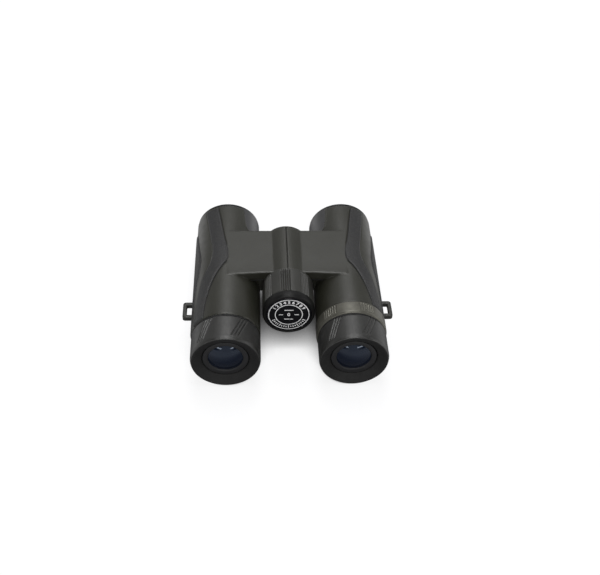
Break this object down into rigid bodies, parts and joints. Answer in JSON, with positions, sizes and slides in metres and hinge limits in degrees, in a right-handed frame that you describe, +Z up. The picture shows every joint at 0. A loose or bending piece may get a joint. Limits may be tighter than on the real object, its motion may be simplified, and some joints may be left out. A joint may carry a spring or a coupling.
{
  "type": "binoculars",
  "caption": "Compact roof-prism binoculars: two armoured barrels folding on a central hinge, rear focusing knob, dioptre ring, twist-up eyecups and strap lugs.",
  "frame": {"origin": "on the table, under the middle of the object's box, lying opened flat on its barrels", "axes": "+X to the user's right across both barrels, +Y from the eyepieces to the objectives, +Z up"},
  "size_m": [0.1248, 0.119, 0.0447],
  "materials": {
    "chassis_metal": "satin black lacquer over light alloy, smooth",
    "smooth_armour": "satin smooth rubber armour, warm dark grey",
    "grip_rubber": "matt leather-grained rubber",
    "lug_plastic": "satin moulded plastic",
    "black_anodised": "satin black anodised aluminium",
    "seal_rubber": "matt nitrile rubber",
    "coated_glass": "polished, blue multi-layer coating",
    "clear_glass": "polished optical glass",
    "inner_plastic": "matt black moulded plastic",
    "eyepiece_plastic": "satin black moulded plastic",
    "eyecup_rubber": "soft matt black rubber, satin on the skirt",
    "steel": "turned",
    "brass": "turned",
    "knob_plastic": "semi-gloss moulded plastic",
    "knob_rubber": "satin ribbed rubber",
    "dial_plate": "gloss black with printed white rings",
    "dioptre_metal": "satin, warm grey-black"
  },
  "bodies": {
    "right_barrel": {"right_chassis": "chassis_metal", "right_armour": "smooth_armour", "right_grip_pad": "grip_rubber", "right_lower_pad": "grip_rubber", "right_strap_lug": "lug_plastic", "right_objective_ring": "black_anodised", "right_objective_cell": "black_anodised", "right_objective_o_ring": "seal_rubber", "right_objective_crown_lens": "coated_glass", "right_objective_flint_lens": "clear_glass", "right_prism_cage": "inner_plastic", "right_half_penta_prism": "clear_glass", "right_roof_prism": "clear_glass", "right_eyepiece_tube": "eyepiece_plastic", "right_eye_lens": "coated_glass", "right_eyepiece_doublet": "clear_glass", "right_eyecup_circlip": "steel", "hinge_shaft": "steel", "tripod_insert": "brass", "hinge_front_cap": "lug_plastic", "hinge_covers": "inner_plastic"},
    "left_barrel": {"left_chassis": "chassis_metal", "left_armour": "smooth_armour", "left_grip_pad": "grip_rubber", "left_lower_pad": "grip_rubber", "left_strap_lug": "lug_plastic", "left_objective_ring": "black_anodised", "left_objective_cell": "black_anodised", "left_objective_o_ring": "seal_rubber", "left_objective_crown_lens": "coated_glass", "left_objective_flint_lens": "clear_glass", "left_prism_cage": "inner_plastic", "left_half_penta_prism": "clear_glass", "left_roof_prism": "clear_glass", "left_eyepiece_tube": "eyepiece_plastic", "left_eye_lens": "coated_glass", "left_eyepiece_doublet": "clear_glass", "left_eyecup_circlip": "steel", "left_field_lens_cell": "inner_plastic", "left_field_lens": "clear_glass"},
    "focus_knob": {"knob_core": "knob_plastic", "knob_grip": "knob_rubber", "knob_cap": "dial_plate", "focus_screw": "steel"},
    "carriage": {"focus_carriage": "brass", "drive_nut": "brass", "drive_pins": "steel"},
    "left_focus_slide": {"left_focus_cell": "inner_plastic", "left_focus_lens": "clear_glass"},
    "right_focus_slide": {"right_focus_cell": "inner_plastic", "right_focus_lens": "clear_glass"},
    "dioptre": {"dioptre_ring": "dioptre_metal"},
    "dioptre_cell": {"right_field_lens_cell": "inner_plastic", "right_field_lens": "clear_glass"},
    "left_cup_guide": {"left_eyecup_guide": "inner_plastic"},
    "left_cup": {"left_eyecup_sleeve": "inner_plastic", "left_eyecup_rubber": "eyecup_rubber"},
    "right_cup_guide": {"right_eyecup_guide": "inner_plastic"},
    "right_cup": {"right_eyecup_sleeve": "inner_plastic", "right_eyecup_rubber": "eyecup_rubber"}
  },
  "joints": [
    {"name": "interpupillary_hinge", "type": "hinge", "parent": "right_barrel", "child": "left_barrel", "pos_m": [0, 0, 0.0294], "axis": [0, -1, 0], "range_deg": [0, 56]},
    {"name": "carriage_slide", "type": "slide", "parent": "right_barrel", "child": "carriage", "axis": [0, 1, 0], "range_m": [-0.0025, 0.0025]},
    {"name": "focus_turn", "type": "hinge", "parent": "right_barrel", "child": "focus_knob", "pos_m": [0, 0, 0.0294], "axis": [0, 1, 0], "range_deg": [-226, 226]},
    {"name": "right_focus_travel", "type": "slide", "parent": "right_barrel", "child": "right_focus_slide", "axis": [0, 1, 0], "range_m": [-0.00252, 0.00252]},
    {"name": "left_focus_travel", "type": "slide", "parent": "left_barrel", "child": "left_focus_slide", "axis": [0, 1, 0], "range_m": [-0.00252, 0.00252]},
    {"name": "dioptre_travel", "type": "slide", "parent": "right_barrel", "child": "dioptre_cell", "axis": [0, 1, 0], "range_m": [-0.0012, 0.0012]},
    {"name": "dioptre_turn", "type": "hinge", "parent": "right_barrel", "child": "dioptre", "pos_m": [0.0365, 0, 0.0206], "axis": [0, 1, 0], "range_deg": [-50.5, 50.5]},
    {"name": "left_eyecup_twist", "type": "hinge", "parent": "left_barrel", "child": "left_cup_guide", "pos_m": [-0.0365, 0, 0.0206], "axis": [0, -1, 0], "range_deg": [0, 120.5]},
    {"name": "left_eyecup_slide", "type": "slide", "parent": "left_cup_guide", "child": "left_cup", "axis": [0, -1, 0], "range_m": [0, 0.007]},
    {"name": "right_eyecup_twist", "type": "hinge", "parent": "right_barrel", "child": "right_cup_guide", "pos_m": [0.0365, 0, 0.0206], "axis": [0, -1, 0], "range_deg": [0, 120.5]},
    {"name": "right_eyecup_slide", "type": "slide", "parent": "right_cup_guide", "child": "right_cup", "axis": [0, -1, 0], "range_m": [0, 0.007]}
  ],
  "couplings": [
    {"joint": "focus_turn", "follows": "carriage_slide", "rad_per_m": 1570.8},
    {"joint": "right_focus_travel", "follows": "carriage_slide", "ratio": 1},
    {"joint": "left_focus_travel", "follows": "carriage_slide", "ratio": 1},
    {"joint": "dioptre_turn", "follows": "dioptre_travel", "rad_per_m": 727.22},
    {"joint": "left_eyecup_twist", "follows": "left_eyecup_slide", "rad_per_m": 299.2},
    {"joint": "right_eyecup_twist", "follows": "right_eyecup_slide", "rad_per_m": 299.2}
  ]
}
